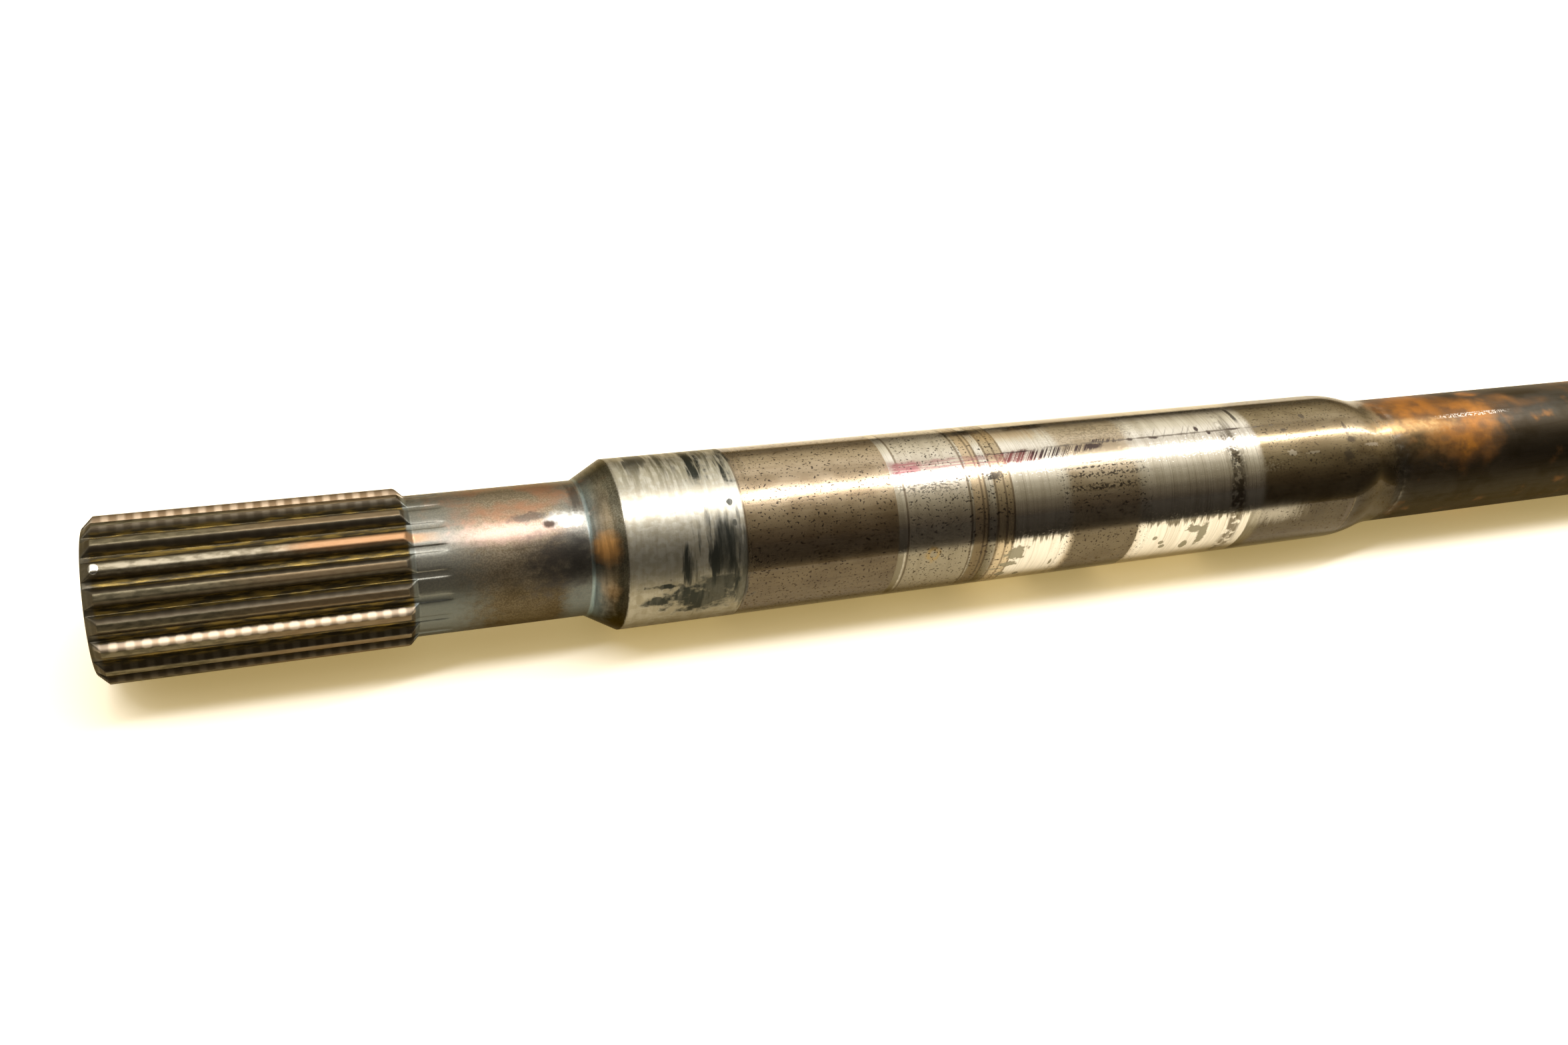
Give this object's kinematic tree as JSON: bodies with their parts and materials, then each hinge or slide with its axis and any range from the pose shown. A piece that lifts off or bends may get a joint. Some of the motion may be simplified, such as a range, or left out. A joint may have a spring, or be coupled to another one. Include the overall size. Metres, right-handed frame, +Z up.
{
  "type": "pump drive shaft",
  "caption": "Slender steel pump drive shaft with an involute spline on one end, a waisted neck, a cone up to a long ground body, and a soft step down to a plain round end.",
  "frame": {"origin": "centre of the splined end's face, on the shaft's axis", "axes": "+X along the shaft from the splined end to the plain end, +Z up through a tooth crest of the spline"},
  "size_m": [0.5003, 0.045, 0.0449],
  "materials": {
    "shaft_steel": "ground steel, worn and polished in bands, oil-stained brown, with light rust at the plain end"
  },
  "bodies": {
    "root": {"drive_shaft": "shaft_steel"}
  },
  "joints": []
}
